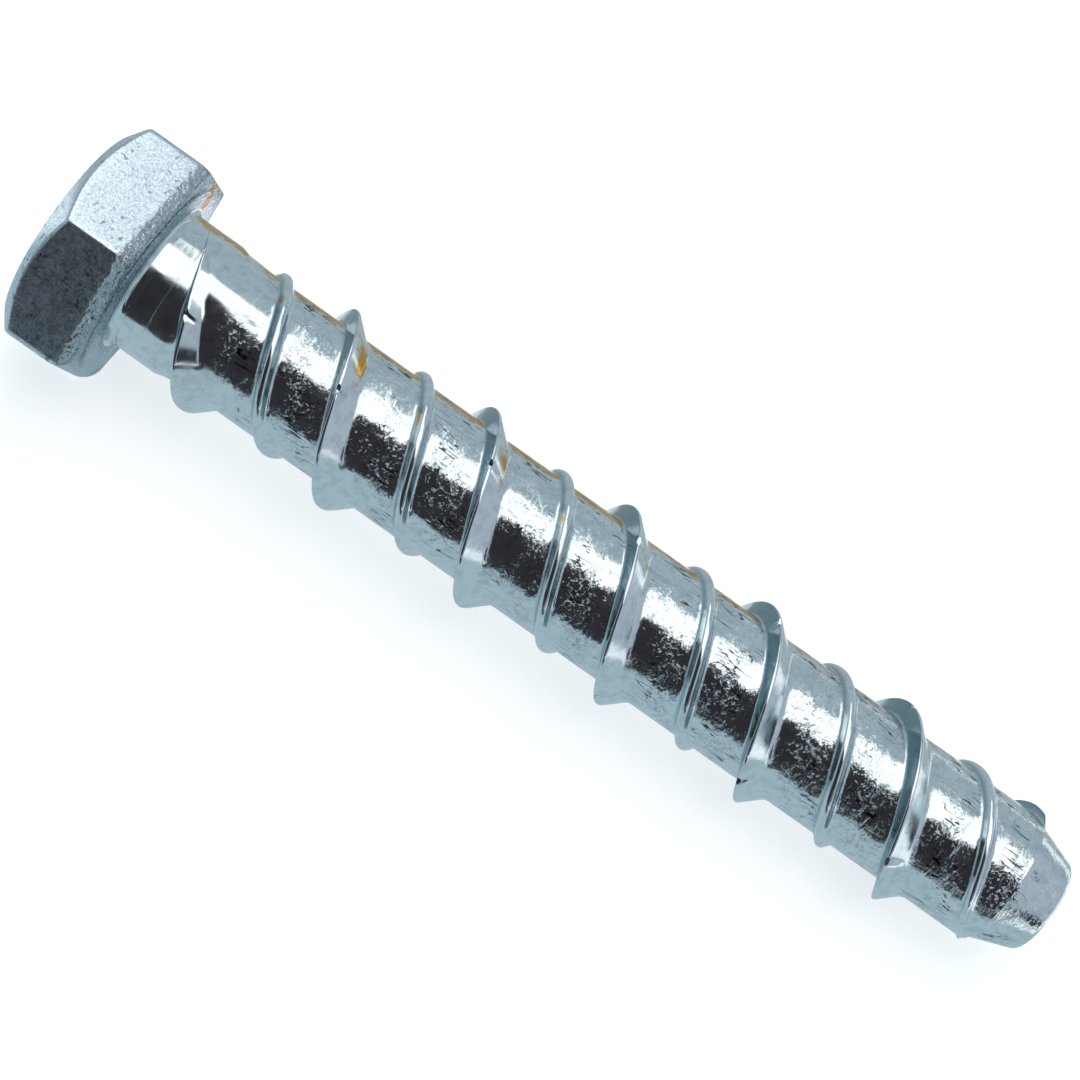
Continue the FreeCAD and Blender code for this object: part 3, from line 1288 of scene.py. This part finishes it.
@dataclass(frozen=True)
class RestingPlace:
    """The screw's own frame at rest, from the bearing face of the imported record."""

    origin: np.ndarray
    along: np.ndarray

    @classmethod
    def from_record(cls, record: dict) -> "RestingPlace":
        """Find the bearing face among the record's mounts.

        Args:
            record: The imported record.

        Returns:
            The resting place.
        """
        mount = next(mount for mount in record["mounts"] if mount["name"] == "bearing_face")
        along = np.array(mount["axis"], dtype=float)
        return cls(np.array(mount["pos_m"], dtype=float), along / np.linalg.norm(along))

    @property
    def tilt(self) -> float:
        """Slope of the axis towards the tip, in radians."""
        return math.asin(-self.along[2])

    @property
    def up(self) -> np.ndarray:
        """Direction of the flat that faces up."""
        return np.array([-self.along[2], 0.0, self.along[0]])

    @property
    def near(self) -> np.ndarray:
        """Direction of the near side."""
        return np.cross(self.along, self.up)

    def placed(self, points: np.ndarray) -> np.ndarray:
        """Points (n, 3) of the screw's frame in metres: origin + x up + y near + z along."""
        return self.origin + MILLIMETRE * points @ np.stack([self.up, self.near, self.along])


@dataclass(frozen=True)
class ConcreteScrew:
    """The whole screw: head, neck, threaded rod and cone tip in one piece."""

    place: RestingPlace
    head: HexHead = field(default_factory=HexHead)
    neck: Neck = field(default_factory=Neck)
    rod: ThreadedRod = field(default_factory=ThreadedRod)
    tip: ConeTip = field(default_factory=ConeTip)
    sharp_angle: float = 32.0

    def build(self) -> bpy.types.Object:
        """Join the shells, place them and make the piece.

        Returns:
            The object, which rides on the only body and stands for its node.
        """
        head = self.head.shell()
        shell = head.joined(self.neck.shell()).joined(self.rod.shell()).joined(self.tip.shell())
        corner_count = shell.triangles.size
        mesh = bpy.data.meshes.new("screw")
        mesh.vertices.add(len(shell.points))
        mesh.vertices.foreach_set("co", self.place.placed(shell.points).astype(np.float32).ravel())
        mesh.loops.add(corner_count)
        mesh.loops.foreach_set("vertex_index", shell.triangles.astype(np.int32).ravel())
        mesh.polygons.add(len(shell.triangles))
        mesh.polygons.foreach_set("loop_start", np.arange(0, corner_count, 3, dtype=np.int32))
        mesh.update(calc_edges=True)
        mesh.validate()
        mesh.shade_smooth()
        mesh.set_sharp_from_angle(angle=math.radians(self.sharp_angle))
        masks = Marks(self.rod, self.head).masks(shell.points, len(head.points))
        for mask, values in masks.items():
            attribute = mesh.attributes.new(mask.value, "FLOAT", "POINT")
            attribute.data.foreach_set("value", values.astype(np.float32))
        piece = linked("screw", mesh)
        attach(piece, BODY)
        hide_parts(NODE)
        return piece

    def dress(self, piece: bpy.types.Object, plating: ZincPlating) -> None:
        """Give the piece its plating."""
        piece.data.materials.append(plating.material(self.place.tilt))


# Studio


class CardUse(Enum):
    """What a card is for: it lights the set, or the metal only mirrors it."""

    LIGHT = "light"
    MIRRORED = "mirrored"


@dataclass(frozen=True)
class Card:
    """A flat card that runs along x between two points of the YZ plane."""

    name: str
    low: Pair
    high: Pair
    ends: Pair
    colour: Colour
    use: CardUse = CardUse.MIRRORED
    strength: float = 1.0

    def corners(self) -> list[Triple]:
        """Corners of the card: its two points, each at both ends along x."""
        first, last = self.ends
        return [(first, *self.low), (last, *self.low), (last, *self.high), (first, *self.high)]

    def build(self) -> bpy.types.Object:
        """Make the card, hidden from the camera but seen in reflections.

        Returns:
            The card as a stage object.
        """
        mesh = bpy.data.meshes.new(self.name)
        mesh.from_pydata(self.corners(), [], [(0, 1, 2, 3)])
        sheet = NodeSheet(self.name)
        glow = sheet.node("ShaderNodeEmission")
        glow.inputs["Color"].default_value = self.colour
        glow.inputs["Strength"].default_value = self.strength
        sheet.feed(sheet.output.inputs["Surface"], glow.outputs[0])
        mesh.materials.append(sheet.material)
        card = linked(self.name, mesh)
        card.visible_camera = False
        if self.use is CardUse.MIRRORED:
            card.visible_diffuse = False
            card.visible_shadow = False
        return card


@dataclass(frozen=True)
class EndCard(Card):
    """An upright card across x, between two opposite corners of the YZ plane."""

    def corners(self) -> list[Triple]:
        """Corners of the card, which stands at the first of its ends.

        Returns:
            The four corners in order round the card.
        """
        (low_y, low_z), (high_y, high_z) = self.low, self.high
        ring = [(low_y, low_z), (high_y, low_z), (high_y, high_z), (low_y, high_z)]
        return [(self.ends[0], y, z) for y, z in ring]


@dataclass(frozen=True)
class Studio:
    """Pale floor, overhead softbox, pale air and the cards that the metal mirrors.

    Cards end at places along x.  The softboxes' edges are degrees from the
    near horizon, and the head mirrors a softbox that reaches further back.
    """

    floor_radius: float = 3.0
    floor_sides: int = 96
    floor_albedo: float = 0.8
    floor_glow: float = 0.6
    air: Colour = (0.40, 0.48, 0.53, 1.0)
    far_floor: Colour = (0.41, 0.48, 0.51, 1.0)
    near_floor: Colour = (0.43, 0.545, 0.60, 1.0)
    dark: Colour = (0.032, 0.029, 0.034, 1.0)
    tip_card: Colour = (0.46, 0.51, 0.58, 1.0)
    softbox_colour: Colour = (1.0, 1.0, 1.0, 1.0)
    softbox_radiance: float = 1.5
    softbox_distance: float = 1.2
    mirrored_distance: float = 1.01 * 1.2
    softbox_from: float = 71.5
    shank_softbox_to: float = 115.0
    head_softbox_to: float = 134.0
    head_until: float = -0.19
    dark_out: float = -0.9
    dark_ends: Pair = (-0.47, 0.47)
    tip_card_at: float = 0.95
    floor_card_ends: Pair = (-1.5, 0.06)
    floor_card_out: float = 1.5
    far_from: float = 0.014
    lift: float = 0.0004

    def floor(self) -> bpy.types.Object:
        """Make the floor disc, which the camera and reflections see as white.

        Returns:
            The floor as a stage object.
        """
        angle = np.linspace(0.0, 2 * np.pi, self.floor_sides + 1)[:-1]
        ring = np.column_stack([np.cos(angle), np.sin(angle), 0 * angle]) * self.floor_radius
        mesh = bpy.data.meshes.new("floor")
        mesh.from_pydata(ring.tolist(), [], [tuple(range(len(ring)))])
        sheet = NodeSheet("floor")
        path = sheet.node("ShaderNodeLightPath").outputs
        seen = sheet.math("MAXIMUM", path["Is Camera Ray"], path["Is Glossy Ray"])
        seen = sheet.math("MAXIMUM", seen, path["Is Transmission Ray"])
        glow = sheet.node("ShaderNodeEmission")
        sheet.feed(glow.inputs["Strength"], sheet.times(seen, self.floor_glow))
        paint = sheet.node("ShaderNodeBsdfDiffuse")
        paint.inputs["Color"].default_value = (*(self.floor_albedo,) * 3, 1.0)
        both = sheet.node("ShaderNodeAddShader")
        sheet.feed(both.inputs[0], paint.outputs[0])
        sheet.feed(both.inputs[1], glow.outputs[0])
        sheet.feed(sheet.output.inputs["Surface"], both.outputs[0])
        mesh.materials.append(sheet.material)
        disc = linked("floor", mesh)
        return disc

    def softbox(self, use: CardUse, distance: float, upto: float, ends: Pair) -> Card:
        """Make an overhead softbox, or one that only the metal mirrors.

        Args:
            use: Whether it lights the set.
            distance: How far it is from the screw.
            upto: Angle of its far edge from the near horizon, in degrees.
            ends: Where it ends along x.

        Returns:
            The card.
        """
        edges = [math.radians(self.softbox_from), math.radians(upto)]
        low, high = [(-distance * math.cos(edge), distance * math.sin(edge)) for edge in edges]
        name = f"{use.value} softbox to {upto:.0f}"
        return Card(name, low, high, ends, self.softbox_colour, use, self.softbox_radiance)

    def cards(self) -> tuple[Card, ...]:
        """List the cards: softboxes, dark cards and the near and far floor cards.

        Returns:
            The cards in the order in which they are set up.
        """
        lit_at, mirrored_at = self.softbox_distance, self.mirrored_distance
        head_to, shank_to = self.head_softbox_to, self.shank_softbox_to
        above, out, wide = 2 * self.lift, self.floor_card_out, self.floor_card_ends
        low = (self.dark_out, above)
        return (
            self.softbox(CardUse.LIGHT, lit_at, shank_to, ends=(-0.42, 0.42)),
            self.softbox(CardUse.MIRRORED, mirrored_at, head_to, ends=(-0.9, self.head_until)),
            self.softbox(CardUse.MIRRORED, mirrored_at, shank_to, ends=(self.head_until, 0.75)),
            Card("dark card", low, high=(-0.24, 0.74), ends=self.dark_ends, colour=self.dark),
            Card("dark end", low, high=(-0.58, 0.33), ends=(0.7, 1.8), colour=self.dark),
            EndCard("tip card", low=(-0.55, 0.0), high=(0.9, 1.3), ends=(self.tip_card_at,) * 2,
                    colour=self.tip_card),
            Card("dark foot", low, high=(-0.045, above), ends=(self.dark_ends[0], 0.12),
                 colour=self.dark),
            Card("near floor card", (-out, self.lift), (0.0, self.lift), wide, self.near_floor),
            Card("far floor card", (self.far_from, self.lift), (out, self.lift), wide, self.far_floor),
        )

    def world(self) -> None:
        """Fill the air with a uniform pale blue-grey."""
        world = bpy.data.worlds.new("air")
        world.use_nodes = True
        world.node_tree.nodes["Background"].inputs["Color"].default_value = self.air
        bpy.context.scene.world = world


@dataclass(frozen=True)
class PhotoCamera:
    """Camera at the photograph's place: square frame, long lens, rolled."""

    position: Triple = (-1.1034, -84.1797, 145.8181)
    yaw: float = -0.7243
    down: float = 58.3555
    roll: float = -33.7054
    lens: float = 79.0
    sensor: float = 36.0
    clip_start: float = 0.01

    def build(self) -> bpy.types.Object:
        """Place the camera and make it the scene's.

        The view direction is turned from +Y by the yaw and lowered by the
        angle down; the frame is then rolled about it.

        Returns:
            The camera object.
        """
        yaw, down, roll = (math.radians(angle) for angle in (self.yaw, self.down, self.roll))
        level_reach = math.cos(down)
        ahead = np.array([math.sin(yaw) * level_reach, math.cos(yaw) * level_reach, -math.sin(down)])
        level = np.cross(ahead, [0.0, 0.0, 1.0])
        level /= np.linalg.norm(level)
        plumb = np.cross(level, ahead)
        up = math.cos(roll) * plumb + math.sin(roll) * np.cross(ahead, plumb)
        right = np.cross(ahead, up)
        data = bpy.data.cameras.new("camera")
        data.lens, data.sensor_width, data.sensor_height = self.lens, self.sensor, self.sensor
        data.clip_start = self.clip_start
        camera = linked("camera", data)
        matrix = np.eye(4)
        matrix[:3, 0], matrix[:3, 1], matrix[:3, 2] = right, up, -ahead
        matrix[:3, 3] = np.array(self.position) * MILLIMETRE
        camera.matrix_world = Matrix(matrix.tolist())
        bpy.context.scene.camera = camera
        return camera


def main() -> None:
    """Build the screw, the studio and the camera, and set the view transform."""
    logging.basicConfig(level=logging.INFO, format="%(message)s")
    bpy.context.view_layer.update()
    screw = ConcreteScrew(RestingPlace.from_record(frame["record"]))
    piece = screw.build()
    screw.dress(piece, ZincPlating())
    log.info("screw: %d triangles", len(piece.data.polygons))
    studio = Studio()
    log.info("studio: %s", studio.floor().name)
    for card in studio.cards():
        log.info("studio: %s", card.build().name)
    studio.world()
    camera = PhotoCamera().build()
    log.info("camera: %.1f mm lens", camera.data.lens)
    scene = bpy.context.scene
    scene.view_settings.view_transform = "Standard"


if __name__ == "__main__":
    main()
